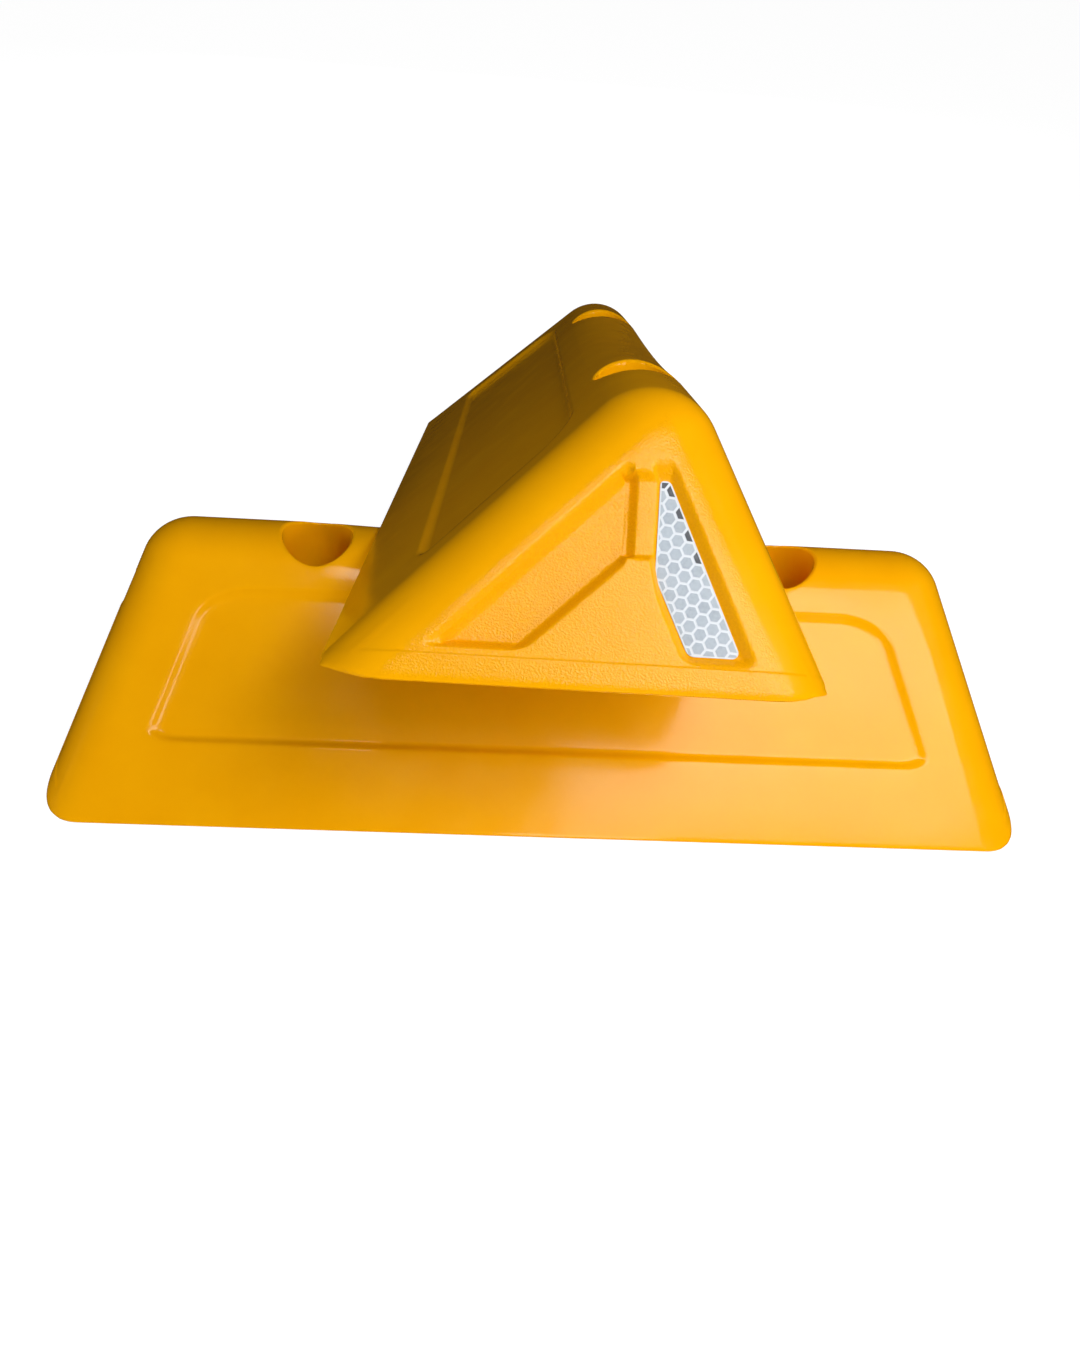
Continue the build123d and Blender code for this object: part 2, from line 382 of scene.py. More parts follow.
pocket_outline = Outline(grown(sheet_points, POCKET_WALLS), POCKET_WALLS, POCKET_CORNERS)
deep_outline = Outline(deep_points, DEEP_WALLS, DEEP_CORNERS)
strip_walls = [STRIP_FOOT_WALL, STRIP_WALL, STRIP_WALL, STRIP_WALL]
strip_outline = Outline(strip_points, strip_walls, [STRIP_CORNER] * len(strip_points))
print("the deep hollow's sharp corner is", deep_front, "across and", DEEP_FOOT, "up")

# %% [markdown]
# Where the deep hollow meets the strip there is a step, which falls away over a few millimetres. Near the
# base a witness line crosses the end, where two parts of the mould met.

# %% Shape of the end
END_BLEND = 0.0008
RIM_BLEND = 0.0009
WITNESS_UP, WITNESS_STEP, WITNESS_WIDTH = 0.0097, 0.0004, 0.0008


def eased(share):
    """A share from 0 to 1, with a soft start and a soft stop."""
    share = min(max(share, 0), 1)
    return share * share * (3 - 2 * share)


def corner_web(across):
    """Height of the little web that fills the deep hollow's sharp corner: a gentle slope, then a drop."""
    run = across - deep_front
    return -WEB_SLOPE * run - WEB_DROP * max(run - WEB_LENGTH, 0)


def end_floor(across, up):
    """Height of the hollows' walls and floors on an end, or well above it where there is none."""
    deep = hollow(deep_outline.share(across, up), DEEP_DEPTH, END_BLEND)
    deep = -soft_min(-deep, -corner_web(across), END_BLEND)
    pocket = hollow(pocket_outline.share(across, up), POCKET_DEPTH, END_BLEND)
    past_step = eased((strip_front - across) / STEP_WIDTH + 0.5)
    strip_depth = STRIP_DEPTH + (DEEP_DEPTH - STRIP_DEPTH) * past_step
    strip = hollow(strip_outline.share(across, up), strip_depth, END_BLEND)
    return soft_min(soft_min(deep, strip, RIM_BLEND / 2), pocket, RIM_BLEND / 2)


print("at the sheet's foot the pocket is", -end_floor(*sheet_points[0]), "deep")

# %% [markdown]
# ### Where the score lines go
#
# The scores follow the detail: close rows up each slope where a panel's wall or a well's mouth is coming,
# and rows beside the slanting edges for the rounding there. An even grid would do as well, but it would
# need many more points to catch the same walls.

# %% Rows up a slope
FOOT_ROLL, END_FOOT_ROLL = 0.0040, 0.0090
FOOT_TURN, FOOT_BELOW, FOOT_EASE = radians(21.4), 0.001, 0.0004
FOOT_TOP = 0.0085
WALL_PITCH = 0.00056
CURVE_PITCH = 0.0015
CORNER_PITCH = 0.00125
WELL_PITCH = 0.0007
SAG_PITCH = 0.004
WALL_LEAD = 0.0010
WELL_LIP = 0.0014
FOOT_PITCH = 0.0005


def slope_rows(foot, ridge, foot_corner, ridge_corner, apex, mouth_reach):
    """Heights up a slope at which it is scored, from the panel's foot to the sharp ridge."""
    wall = PANEL_WALL + WALL_LEAD
    return [
        *steps(foot - WALL_LEAD, foot + wall, WALL_PITCH),
        *steps(foot + wall, foot + foot_corner, CORNER_PITCH)[1:],
        *steps(ridge - ridge_corner, ridge - wall, CORNER_PITCH),
        *steps(ridge - wall, ridge + WALL_LEAD, WALL_PITCH)[1:],
        *steps(apex - EDGE_RADIUS * tan((front_slope + back_slope) / 2), apex - mouth_reach, CURVE_PITCH),
        *steps(apex - mouth_reach, apex, WELL_PITCH)[1:-1],
    ]


print("walls are scored every", WALL_PITCH, "and round edges every", CURVE_PITCH)

# %% [markdown]
# Each slope gets its rows, then columns for the panel's ends and the mouths of the wells, and the foot gets
# rows all round, because it turns down and under there.

# %% Score lines on the slopes
well_reach = WELL_RADIUS + WELL_LIP


def score_rows(bm):
    front_reach = (apex_y + well_reach) / cos(front_slope)
    back_reach = (well_reach - apex_y) / cos(back_slope)
    front_rows = slope_rows(
        FRONT_FOOT_MARGIN, front_panel_top, FRONT_FOOT_CORNER, FRONT_RIDGE_CORNER,
        apex_z / sin(front_slope), front_reach,
    )
    back_rows = slope_rows(
        BACK_FOOT_MARGIN, back_panel_top, BACK_CORNER, BACK_CORNER, apex_z / sin(back_slope), back_reach
    )
    for region, face, rows in ((FRONT, front_face, front_rows), (BACK, back_face, back_rows)):
        for up in rows:
            score(bm, {region}, face.point(0, up), face.up)


def score_columns(bm):
    panel_end = PANEL_END_MARGIN * cos(END_LEAN)
    wall_end = panel_end + PANEL_WALL + WALL_LEAD
    insets = [
        *steps(0, EDGE_RADIUS, CURVE_PITCH)[1:],
        *steps(panel_end - WALL_LEAD, wall_end, WALL_PITCH),
        *steps(wall_end, wall_end + FRONT_RIDGE_CORNER, CORNER_PITCH)[1:],
    ]
    for inset in insets:
        score(bm, {FRONT, BACK}, end_face.foot - end_face.normal * inset, end_face.normal)
    columns = [
        *steps(bolt_x + well_reach, bolt_x - well_reach, WELL_PITCH),
        *steps(bolt_x - well_reach, 0, SAG_PITCH)[1:-1],
    ]
    for x in columns:
        score(bm, {FRONT, BACK}, (x, 0, 0), (1, 0, 0))


def score_foot(bm):
    rows = [
        *steps(-FOOT_BELOW, 2 * FOOT_EASE, FOOT_EASE / 4),
        *steps(2 * FOOT_EASE, FOOT_TOP, FOOT_PITCH)[1:],
    ]
    for z in rows:
        score(bm, {FRONT, BACK, END}, (0, 0, z), (0, 0, 1))


score_rows(shell)
score_columns(shell)
score_foot(shell)
print("with its slopes scored the wedge has", len(shell.faces), "faces")

# %% [markdown]
# On an end the scores run along the walls of all three hollows, along the witness line and the step
# beside the strip, and beside both slanting edges.


# %% Score lines on the ends
def score_end(bm):
    for outline in (deep_outline, pocket_outline, strip_outline):
        for (x, y, nx, ny), width in zip(outline.sides, outline.widths):
            normal = end_face.direction(nx, ny).normalized()
            for inset in steps(-WALL_LEAD, width + WALL_LEAD, WALL_PITCH):
                score(bm, {END}, end_face.point(x, y) + normal * inset, normal)
    for line in steps(WITNESS_UP - WITNESS_WIDTH, WITNESS_UP + WITNESS_WIDTH, WITNESS_WIDTH / 2):
        score(bm, {END}, end_face.point(0, line), end_face.up)
    for across in steps(strip_front - STEP_WIDTH, strip_front + STEP_WIDTH, WALL_PITCH):
        score(bm, {END}, end_face.point(across, 0), end_face.across)
    for run, rise in ((-front_run, front_edge_rise), (back_run, -back_edge_rise)):
        normal = end_face.direction(rise, -1).normalized()
        for inset in steps(0, EDGE_RADIUS, CURVE_PITCH)[1:]:
            score(bm, {END}, end_face.point(run, 0) + normal * inset, normal)


score_end(shell)
print("with its end scored too it has", len(shell.faces), "faces")

# %% [markdown]
# ### Rounding the edges
#
# The rounded edges are those that a ball leaves when it rolls along the inside of the sharp corner. For
# every point, the nearest place that the ball's centre can reach is found, and the point is put on the
# ball. A bevel could round the bare wedge too, but then the scores would have to follow its curved strips.

# %% The rolling ball
BALL_FACES = (front_face, back_face, end_face)
BALL_SETS = ((0,), (1,), (2,), (0, 1), (0, 2), (1, 2), (0, 1, 2))


def ball_push(excess, chosen):
    """How far a point lies past the ball's limits on the chosen faces, shared out along their normals."""
    normals = [BALL_FACES[i].normal for i in chosen]
    size = len(chosen)
    if size == 1:
        return [excess[chosen[0]]]
    if size == 2:
        g = normals[0].dot(normals[1])
        a, b = (excess[i] for i in chosen)
        return [(a - g * b) / (1 - g * g), (b - g * a) / (1 - g * g)]
    gram = Matrix([[m.dot(n) for n in normals] for m in normals])
    return list(gram.inverted() @ Vector([excess[i] for i in chosen]))


def on_the_ball(co):
    """The point moved on to the rounded shape, and the way that the shape faces there."""
    excess = [face.measure(co)[2] + EDGE_RADIUS for face in BALL_FACES]
    for chosen in BALL_SETS:
        push = ball_push(excess, chosen)
        if min(push) < -NEARLY:
            continue
        offset = sum((BALL_FACES[i].normal * amount for i, amount in zip(chosen, push)), Vector())
        left = [face.normal.dot(offset) for face in BALL_FACES]
        if all(e - moved < NEARLY for e, moved in zip(excess, left)):
            outward = offset.normalized()
            return co - offset + outward * EDGE_RADIUS, outward
    return co, Vector((0, 0, 1))


print("the sharp ridge comes down to", on_the_ball(Vector((0, apex_y, apex_z)))[0].z)

# %% [markdown]
# ### Pressing in the relief
#
# Now each point sinks into the recess that lies over it. The ridge also sags a little between the two
# wells, as a hollow moulding does when it cools. Below the witness line an end stands a hair proud.

# %% Recesses, sag and witness line
SAG_DEPTH = 0.0026

half_apex = (pi - front_slope - back_slope) / 2
apex_tilt = (back_slope - front_slope) / 2
drop_per_radius = cos(apex_tilt) / sin(half_apex) - 1


def press_face(co, face, floor):
    across, up, out = face.measure(co)
    return co + face.normal * (soft_min(out, floor(across, up), RIM_BLEND) - out)


def front_floor(across, up):
    return hollow(front_panel.share(across, up), PANEL_DEPTH, PANEL_BLEND)


def back_floor(across, up):
    return hollow(back_panel.share(across, up), PANEL_DEPTH, PANEL_BLEND)


def sagged(co):
    """The ridge keeps its slopes, and its rounding grows towards the middle."""
    if abs(co.x) >= bolt_x:
        return co
    radius = EDGE_RADIUS + SAG_DEPTH * (1 - (co.x / bolt_x) ** 2) / drop_per_radius
    y = apex_y - radius * sin(apex_tilt) / sin(half_apex)
    z = apex_z - radius * cos(apex_tilt) / sin(half_apex)
    if not y - radius * sin(front_slope) < co.y < y + radius * sin(back_slope):
        return co
    return Vector((co.x, co.y, min(co.z, z + sqrt(radius**2 - (co.y - y) ** 2))))


def witnessed(co):
    _, up, out = end_face.measure(co)
    below = eased((WITNESS_UP - up) / WITNESS_WIDTH + 0.5) * eased(1 + out / EDGE_RADIUS)
    return co + end_face.normal * WITNESS_STEP * below


print("the middle of the ridge sags to", sagged(Vector((0, RIDGE_Y, top_z))).z)

# %% [markdown]
# Every face turns down at its foot and is then rounded under, because a moulding can't end in a knife
# edge. The ridge turns over softly into the mouth of each well. A bevel could do both, but only after the
# base and the wells are cut, where it would run into the recesses. So these too are pressed in, point by
# point.


# %% Foot and mouths of the wells
def roll_inward(height, slope, radius):
    """How far a face draws in where it turns down, until it is steeper at the floor."""
    steep = slope + FOOT_TURN
    start = radius * (cos(slope) - cos(steep))
    if height >= start:
        return 0
    drawn_in = radius * (sin(slope) - sqrt(1 - (height / radius + cos(steep)) ** 2))
    return drawn_in + (start - height) / tan(slope)


def ease_inward(height, slope):
    """How far a wall draws in where it is rounded into the base."""
    start = FOOT_EASE * (1 + cos(slope))
    if height >= start:
        return 0
    round_out = sqrt(FOOT_EASE**2 - (height - FOOT_EASE) ** 2)
    return (start - height) / tan(slope) + FOOT_EASE * sin(slope) - round_out


def rolled_foot(co, outward):
    """Close to the floor a face turns down and then under."""
    slope = min(max(acos(outward.z), NEARLY), QUARTER_TURN - FOOT_TURN)
    height = max(co.z, 0)
    flat = Vector((outward.x, outward.y, 0)).normalized()
    radius = FOOT_ROLL + (END_FOOT_ROLL - FOOT_ROLL) * flat.x**2
    return co - flat * (roll_inward(height, slope, radius) + ease_inward(height, slope + FOOT_TURN))


def turned_into_well(co):
    reach = WELL_RADIUS + WELL_LIP - hypot(co.x - bolt_x, co.y)
    if reach <= 0:
        return co
    reach = min(reach, WELL_LIP)
    return co - Vector((0, 0, WELL_LIP - sqrt(WELL_LIP**2 - reach**2)))


drawn_in = roll_inward(0, front_slope, FOOT_ROLL) + ease_inward(0, front_slope + FOOT_TURN)
print("at the floor the front slope draws in by", drawn_in)

# %% [markdown]
# The order matters: a point is rounded first, then it sags and draws in at the foot, and the recesses are
# pressed into that shape. The mouths of the wells come last.


# %% Press it all in
def press_relief(bm):
    for vert in bm.verts:
        co, outward = on_the_ball(vert.co)
        co = rolled_foot(sagged(co), outward)
        co = press_face(co, front_face, front_floor)
        co = press_face(co, back_face, back_floor)
        co = witnessed(press_face(co, end_face, end_floor))
        vert.co = turned_into_well(co)


press_relief(shell)
print("the pressed shell is", max(vert.co.z for vert in shell.verts), "high")

# %% [markdown]
# ### Base, mirror image and bolt wells
#
# The skirt is cut off at the floor, the half is mirrored, and the open base is closed with one face. The
# scores told the faces of the wedge apart by their material numbers, which have done their work now.


# %% Base and mirror image
def close_base(bm):
    whole = [*bm.verts, *bm.edges, *bm.faces]
    bmesh.ops.bisect_plane(
        bm, geom=whole, dist=NEARLY, plane_co=(0, 0, 0), plane_no=(0, 0, -1), clear_outer=True
    )
    half = [*bm.verts, *bm.edges, *bm.faces]
    bmesh.ops.mirror(bm, geom=half, merge_dist=NEARLY, axis="X")
    rim = [edge for edge in bm.edges if edge.is_boundary]
    bmesh.ops.contextual_create(bm, geom=rim)
    bmesh.ops.recalc_face_normals(bm, faces=bm.faces)
    for face in bm.faces:
        face.material_index = 0


close_base(shell)
closed = all(edge.is_manifold for edge in shell.edges)
print("the whole stop has", len(shell.faces), "faces and is closed:", closed)

# %% [markdown]
# A bolt goes down a well and through a narrower hole at its bottom. Both are turned shapes, so a cutter
# is spun from half of its outline, once for each well, and subtracted. That keeps the mouth's points
# where they were pressed.

# %% Bolt wells
WELL_SEGMENTS = 96
WELL_RING = 0.002
CUTTER_FOOT = -0.005


def new_object(name, bm):
    mesh = bpy.data.meshes.new(name)
    bm.to_mesh(mesh)
    bm.free()
    obj = bpy.data.objects.new(name, mesh)
    bpy.context.scene.collection.objects.link(obj)
    return obj


def well_cutters():
    bm = bmesh.new()
    profile = (
        (0, CUTTER_FOOT),
        (bolt_hole_radius, CUTTER_FOOT),
        (bolt_hole_radius, WELL_FLOOR),
        *((WELL_RADIUS, z) for z in steps(WELL_FLOOR, apex_z, WELL_RING)),
        (0, apex_z),
    )
    for x in (-bolt_x, bolt_x):
        verts = [bm.verts.new((x + radius, 0, z)) for radius, z in profile]
        edges = [bm.edges.new(pair) for pair in zip(verts, verts[1:])]
        bmesh.ops.spin(
            bm, geom=[*verts, *edges], cent=(x, 0, 0), axis=(0, 0, 1), angle=2 * pi,
            steps=WELL_SEGMENTS, use_merge=True,
        )
    bmesh.ops.remove_doubles(bm, verts=bm.verts, dist=NEARLY)
    bmesh.ops.recalc_face_normals(bm, faces=bm.faces)
    return new_object("well_cutters", bm)


def cut_away(obj, cutter):
    cut = obj.modifiers.new("wells", "BOOLEAN")
    cut.object = cutter
    cut.operation = "DIFFERENCE"
    cut.solver = "EXACT"
    view = bpy.context.evaluated_depsgraph_get()
    mesh = bpy.data.meshes.new_from_object(obj.evaluated_get(view))
    obj.modifiers.clear()
    obj.data = mesh
    bpy.data.objects.remove(cutter)


lower_body = new_object("lower_stop_body", shell)
cut_away(lower_body, well_cutters())
print("body faces", len(lower_body.data.polygons))

# %% [markdown]
# A moulding has no facets, so the body is shaded smooth, apart from the edges that turn by more than a set
# angle. A subdivision surface would make it smooth as well, but the points are close enough already.

# %% Smooth shading
SHARP_ANGLE = radians(40)

lower_body.data.shade_smooth()
lower_body.data.set_sharp_from_angle(angle=SHARP_ANGLE)
print("sharp edges", sum(edge.use_edge_sharp for edge in lower_body.data.edges))

# %% [markdown]
# The moulding tool was blasted on the flat of an end and in its hollows, which left a sandy grain there,
# and it was polished elsewhere. How sandy each point is goes into an attribute of the mesh, which the
# plastic's material reads.

# %% Where the plastic is sandy
SANDY_FLAT, SANDY_HOLLOW = 1.0, 1.4
SANDY_FADE = 0.003
SANDY_MARGIN = EDGE_RADIUS * 0.45


def sandiness(co):
    across, up, out = end_face.measure(Vector((abs(co.x), co.y, co.z)))
    if out < -2 * DEEP_DEPTH:
        return 0
    front_gap = (across + front_run) * front_edge_rise - up
    back_gap = (back_run - across) * back_edge_rise - up
    edge_gap = min(front_gap / hypot(1, front_edge_rise), back_gap / hypot(1, back_edge_rise))
    flat = eased((edge_gap - SANDY_MARGIN) / SANDY_FADE) * eased(up / SANDY_FADE)
    return flat * (SANDY_FLAT + (SANDY_HOLLOW - SANDY_FLAT) * eased(-out / DEEP_DEPTH))


sandy = lower_body.data.attributes.new("sandy", "FLOAT", "POINT")
for vert, value in zip(lower_body.data.vertices, sandy.data):
    value.value = sandiness(vert.co)
print("sandy points", sum(value.value > 0 for value in sandy.data))

# %% [markdown]
# The upper stop is the same moulding, trimmed less neatly. A thin skin of plastic, called flash, still
# stands out along the edge of its base, where the parts of the mould met, and it comes to a point at each
# corner.

# %% Flash along the base
FLASH_HEIGHT = 0.0010
FLASH_REACH, FLASH_POINT = 0.0003, 0.0020
FLASH_WAVE = 0.0011
POINT_TURN, POINT_SHARPNESS = radians(58), 60


def flash_reach(co, flat):
    """How far the flash stands out, from the way that the face there looks in plan."""
    ragged = (1 + sin(co.x / FLASH_WAVE) * cos(co.y / FLASH_WAVE)) / 2
    corner = (abs(flat.x) * cos(POINT_TURN) + abs(flat.y) * sin(POINT_TURN)) ** POINT_SHARPNESS
    return (FLASH_REACH * ragged + FLASH_POINT * corner) * eased(1 - co.z / FLASH_HEIGHT)


def flashed(mesh):
    for vert in mesh.vertices:
        if vert.co.z < FLASH_HEIGHT:
            outward = on_the_ball(Vector((abs(vert.co.x), vert.co.y, vert.co.z)))[1]
            flat = Vector((copysign(outward.x, vert.co.x), outward.y, 0)).normalized()
            vert.co += flat * flash_reach(vert.co, flat)
    return mesh


upper_mesh = flashed(lower_body.data.copy())
flash_tip = max(vert.co.x for vert in upper_mesh.vertices)
print("with its flash the upper stop reaches", flash_tip, "from its middle")

# %% [markdown]
# That mesh then moves to where the CAD model has the upper stop: the bolt mount gives its place, and the
# mount's axis gives how far it leans. How far it is turned isn't in the frame, so it is named here.

# %% The upper body
UPPER_TURN = radians(-92.4)

upper_axis = Vector(mounts["upper_bolts"]["axis"])
upper_tilt = Matrix.Rotation(-atan2(-upper_axis.y, -upper_axis.z), 4, "X")
upper_at = Matrix.Translation(mounts["upper_bolts"]["pos_m"])
upper_place = upper_at @ upper_tilt @ Matrix.Rotation(UPPER_TURN, 4, "Z")

upper_mesh.name = "upper_stop_body"
upper_mesh.transform(upper_place)
upper_body = bpy.data.objects.new("upper_stop_body", upper_mesh)
bpy.context.scene.collection.objects.link(upper_body)

# %% [markdown]
# ## The reflectors
#
# The sheet on each end is honeycomb reflective sheeting: grey cells with white walls between them. A
# honeycomb could be drawn in the material alone, but here the cells are real. Six-sided faces are laid
# side by side, each is inset to leave its share of the wall, and the sheet is then cut to its outline.

# %% Lay the cells
CELL_PITCH = 0.00445
CELL_WALL = 0.00095
CELL_RISE = 0.00004
CELL_MERGE = CELL_PITCH / 50
CELL_SIDES = 6
CELL_COLUMNS, CELL_ROWS = range(-4, 10), range(-8, 18)
COLUMN_LEAN = radians(-5.1)
FIRST_CELL = (0.0052, 0.0575)


def lay_cells(bm):
    lean = Matrix.Rotation(COLUMN_LEAN, 4, "Z")
    upright_cell = Matrix.Rotation(pi / CELL_SIDES, 4, "Z")
    for column in CELL_COLUMNS:
        for row in CELL_ROWS:
            x = column * CELL_PITCH * sqrt(3) / 2
            y = -(row + column % 2 / 2) * CELL_PITCH
            at = Matrix.Translation((*FIRST_CELL, 0)) @ lean @ Matrix.Translation((x, y, 0)) @ upright_cell
            bmesh.ops.create_circle(
                bm, cap_ends=True, segments=CELL_SIDES, radius=CELL_PITCH / sqrt(3), matrix=at
            )
    bmesh.ops.remove_doubles(bm, verts=bm.verts, dist=CELL_MERGE)
    cells = list(bm.faces)
    walls = bmesh.ops.inset_individual(bm, faces=cells, thickness=CELL_WALL / 2, depth=CELL_RISE)["faces"]
    return cells, walls


print("honeycomb of", len(CELL_COLUMNS) * len(CELL_ROWS), "cells, before it is cut")

# %% [markdown]
# The sheet is cut as scissors would do it, with one straight cut along each side. A rounded corner is a
# few more cuts across it, each touching the corner's arc.

# %% Cut the sheet to its outline
SHEET_CORNERS = (0.0035, 0.002, 0.0022, 0.0012, 0.003)
ARC_CUTS = 6
CUT_SNAP = 1e-7

sheet_sides = list(outward_sides(sheet_points))


def cut(bm, x, y, nx, ny, keep_both=False):
    whole = [*bm.verts, *bm.edges, *bm.faces]
    bmesh.ops.bisect_plane(
        bm, geom=whole, dist=CUT_SNAP, plane_co=(x, y, 0), plane_no=(nx, ny, 0), clear_outer=not keep_both
    )


def cut_to_outline(bm):
    for side in sheet_sides:
        cut(bm, *side)
    for i, (x, y, bx, by) in enumerate(sheet_sides):
        ax, ay = sheet_sides[i - 1][2:]
        radius = SHEET_CORNERS[i]
        half_turn = atan2(ax * by - ay * bx, ax * bx + ay * by) / 2
        mid = atan2(ay, ax) + half_turn
        centre_x = x - cos(mid) * radius / cos(half_turn)
        centre_y = y - sin(mid) * radius / cos(half_turn)
        for angle in steps(mid - half_turn, mid + half_turn, half_turn * 2 / ARC_CUTS)[1:-1]:
            nx, ny = cos(angle), sin(angle)
            cut(bm, centre_x + nx * radius, centre_y + ny * radius, nx, ny)


print("the sheet has", len(sheet_sides), "sides")

# %% [markdown]
# Each face keeps a tone, which the material reads: walls are light, cells are grey, and no two cells are
# quite alike. The sheet's rim is light all round, because its layers are pressed together there. Along
# the upper part of its back edge the cells that cutting has opened get a painted dark reflection, with a
# paler painted ring further in, so more cuts mark off the rim and the painted parts.

# %% Tones
SHEET_BORDER = 0.0005
# The band, depth, gap and starting height below place the painted dark reflection on the opened cells.
REFLECTION_BAND, REFLECTION_DEPTH = 0.0008, 0.0021
REFLECTION_GAP = 0.0006
REFLECTION_FROM = 0.040
# The darkest and the pale tone are painted reflection; the wall and cell tones are the sheet's own.
TONE_WALL, TONE_REFLECTION_PALE, TONE_CELL, TONE_REFLECTION_DARK = 1.0, 0.7, 0.5, 0.0
TONE_SPREAD, TONE_STEP = 0.03, 2.4

sheet_back, sheet_crest = sheet_sides[1], sheet_sides[2]


def inset(face, side):
    """How far inside a side of the sheet the middle of a face lies."""
    x, y, nx, ny = side
    middle = face.calc_center_median()
    return (x - middle.x) * nx + (y - middle.y) * ny


def opened_inset(face):
    """How far inside the two sides whose cells are opened a face lies."""
    return min(inset(face, sheet_back), inset(face, sheet_crest))


def is_high(face):
    return face.calc_center_median().y > REFLECTION_FROM


def mark_along(bm, side, depth):
    x, y, nx, ny = side
    cut(bm, x - nx * depth, y - ny * depth, nx, ny, keep_both=True)


def tone_cells(cells, walls, tone):
    for number, face in enumerate(cells):
        face[tone] = TONE_CELL + TONE_SPREAD * sin(number * TONE_STEP)
        # Opened cells high on the back edge get the painted dark reflection.
        if is_high(face) and opened_inset(face) < REFLECTION_GAP:
            face[tone] = TONE_REFLECTION_DARK
    for face in walls:
        face[tone] = TONE_WALL


def tone_edges(bm, tone):
    for side in sheet_sides:
        mark_along(bm, side, SHEET_BORDER)
    # Cuts that mark off the painted dark reflection along the back edge.
    for depth in (REFLECTION_BAND, REFLECTION_DEPTH):
        mark_along(bm, sheet_back, depth)
    # The rim is light; the painted reflection is dark close to the back edge and pale further in.
    for face in bm.faces:
        if min(inset(face, side) for side in sheet_sides) < SHEET_BORDER:
            face[tone] = TONE_WALL
        elif face[tone] == TONE_REFLECTION_DARK:
            if opened_inset(face) > REFLECTION_DEPTH:
                face[tone] = TONE_REFLECTION_PALE
        elif face[tone] < TONE_WALL and is_high(face) and inset(face, sheet_back) < REFLECTION_BAND:
            face[tone] = TONE_REFLECTION_DARK


# The painted dark reflection starts at this height.
print("cells are opened from", REFLECTION_FROM, "up to", sheet_top)

# %% [markdown]
# The finished sheet gets its thickness and goes to the floor of a pocket, once for each end of each stop.
# The far end is a mirror image, so its normals are worked out again.


# %% Make the four reflectors
def sheet_mesh():
    bm = bmesh.new()
    tone = bm.faces.layers.float.new("tone")
    cells, walls = lay_cells(bm)
    tone_cells(cells, walls, tone)
    cut_to_outline(bm)
    tone_edges(bm, tone)
    bmesh.ops.solidify(bm, geom=bm.faces, thickness=SHEET_THICKNESS)
    return bm


def end_place(side):
    """Turns the flat map of an end's pocket floor into its place on the right end, or on the left one."""
    floor = end_face.foot - end_face.normal * (POCKET_DEPTH - SHEET_THICKNESS)
    columns = (end_face.across, end_face.up, end_face.normal, floor)
    place = Matrix([[column[row] for column in columns] for row in range(3)] + [[0, 0, 0, 1]])
    return Matrix.Diagonal((side, 1, 1, 1)) @ place


def reflector(name, place):
    bm = sheet_mesh()
    bmesh.ops.transform(bm, matrix=place, verts=bm.verts)
    bmesh.ops.recalc_face_normals(bm, faces=bm.faces)
    return new_object(name, bm)


reflectors = {
    "lower_right_reflector": reflector("lower_right_honeycomb", end_place(1)),
    "lower_left_reflector": reflector("lower_left_honeycomb", end_place(-1)),
    "upper_front_reflector": reflector("upper_front_honeycomb", upper_place @ end_place(1)),
    "upper_rear_reflector": reflector("upper_rear_honeycomb", upper_place @ end_place(-1)),
}
for node, sheet in reflectors.items():
    cad_corner = [round(part, 4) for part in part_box(node)[0]]
    own_corner = [round(part, 4) for part in sheet.bound_box[0]]
    print(node, len(sheet.data.polygons), "faces, lowest corner", own_corner, "and in CAD", cad_corner)

# %% [markdown]
# ## Finishes
#
# Both finishes are built from the same few nodes: noise on the piece's own coordinates, a mix of two
# colours, and a sum or product of two values. They could be wired up by hand in the shader editor. Here
# each gets a small helper, so that a finish reads as a list of what varies.

# %% Helpers for finishes
NOISE_LOW, NOISE_HIGH = 0.3, 0.7


def new_material(name):
    material = bpy.data.materials.new(name)
    material.use_nodes = True
    return material, material.node_tree.nodes, material.node_tree.links


def noise(nodes, links, source, pattern, low, high):
    """Noise of a scale and detail on the source's coordinates, whose usual range runs from low to high."""
    grain = nodes.new("ShaderNodeTexNoise")
    grain.inputs["Scale"].default_value, grain.inputs["Detail"].default_value = pattern
    links.new(source, grain.inputs["Vector"])
    spread = nodes.new("ShaderNodeMapRange")
    spread.inputs["From Min"].default_value = NOISE_LOW
    spread.inputs["From Max"].default_value = NOISE_HIGH
    spread.inputs["To Min"].default_value = low
    spread.inputs["To Max"].default_value = high
    links.new(grain.outputs["Fac"], spread.inputs["Value"])
    return spread.outputs["Result"]


def mixed(nodes, links, share, first, second):
    """A colour between two, by a share that a node gives."""
    mix = nodes.new("ShaderNodeMix")
    mix.data_type = "RGBA"
    links.new(share, mix.inputs["Factor"])
    for socket, colour in (("A", first), ("B", second)):
        place = next(item for item in mix.inputs if item.name == socket and item.type == "RGBA")
        if isinstance(colour, tuple):
            place.default_value = (*colour, 1)
        else:
            links.new(colour, place)
    return next(item for item in mix.outputs if item.type == "RGBA")


def calculated(nodes, links, operation, first, second):
    """Two values joined by a math node; the second may be a plain number."""
    node = nodes.new("ShaderNodeMath")
    node.operation = operation
    for socket, value in zip(node.inputs, (first, second)):
        if isinstance(value, (int, float)):
            socket.default_value = value
        else:
            links.new(value, socket)
    return node.outputs[0]


print("noise between", NOISE_LOW, "and", NOISE_HIGH, "is stretched to the range that a finish asks for")

# %% [markdown]
# The stops are yellow right through, with a satin skin. Three things keep that skin from looking like
# paint: the yellow is slightly mottled, its gloss changes from place to place, and a faint unevenness
# breaks up reflections. Where the mesh says that it is sandy, a fine grain is added, with specks a little
# darker than the rest. Each noise is given as a scale and a detail.

